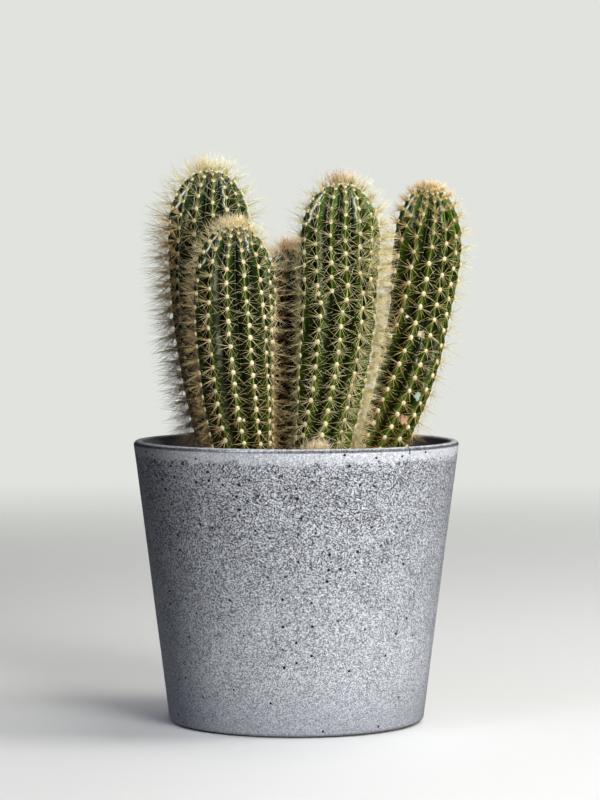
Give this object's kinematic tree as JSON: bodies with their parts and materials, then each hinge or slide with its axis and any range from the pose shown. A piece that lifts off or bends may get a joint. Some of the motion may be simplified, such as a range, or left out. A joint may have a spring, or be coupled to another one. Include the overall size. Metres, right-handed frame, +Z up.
{
  "type": "potted cactus",
  "caption": "Young columnar cactus with ribbed, spiny stems and a small offset, growing in soil in a tapered round pot of speckled grey stoneware.",
  "frame": {"origin": "centre of the pot's foot, on the surface that it stands on", "axes": "+Z up, +X to the right and +Y away from someone who looks at the front of the plant"},
  "size_m": [0.1588, 0.1508, 0.2641],
  "materials": {
    "pot_glaze": "satin",
    "potting_soil": "matte",
    "cactus_skin": "satin",
    "cactus_spines": "satin"
  },
  "bodies": {
    "root": {"pot": "pot_glaze", "potting_soil": "potting_soil", "stem_back_left": "cactus_skin", "stem_front_left": "cactus_skin", "stem_back_middle": "cactus_skin", "stem_centre": "cactus_skin", "stem_right": "cactus_skin", "offset_pup": "cactus_skin"}
  },
  "joints": []
}
